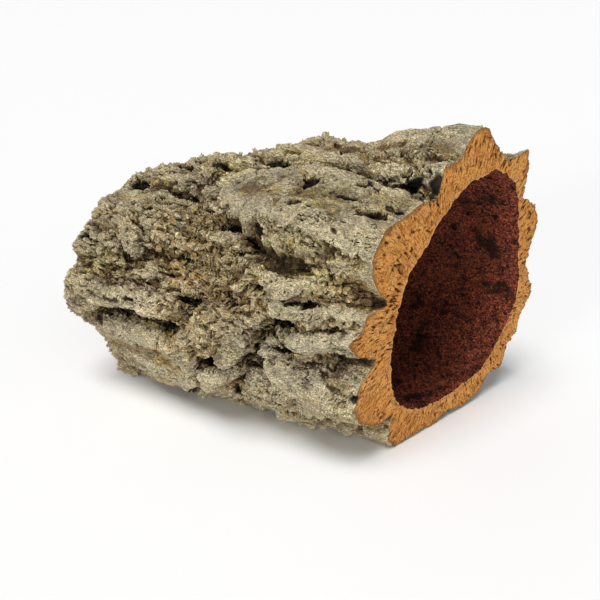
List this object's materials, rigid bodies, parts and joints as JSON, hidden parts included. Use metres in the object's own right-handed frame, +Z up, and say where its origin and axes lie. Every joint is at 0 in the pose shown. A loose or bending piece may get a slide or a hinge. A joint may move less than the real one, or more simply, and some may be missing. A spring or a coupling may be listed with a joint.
{
  "type": "cork bark tube",
  "caption": "Hollow tube of natural cork bark lying on its side, with furrowed grey bark outside, a dark inner wall and flat sawn ends.",
  "frame": {"origin": "on the surface that the tube rests on, under the middle of its bounding box", "axes": "+X runs along the tube from the narrow branch end towards the wide, obliquely sawn end; +Z is up; +Y points away from the side that the picture shows"},
  "size_m": [0.1988, 0.1708, 0.1593],
  "materials": {
    "cork_bark": "rough natural cork bark, weathered grey-olive outside"
  },
  "bodies": {
    "root": {"cork_bark_tube": "cork_bark"}
  },
  "joints": []
}
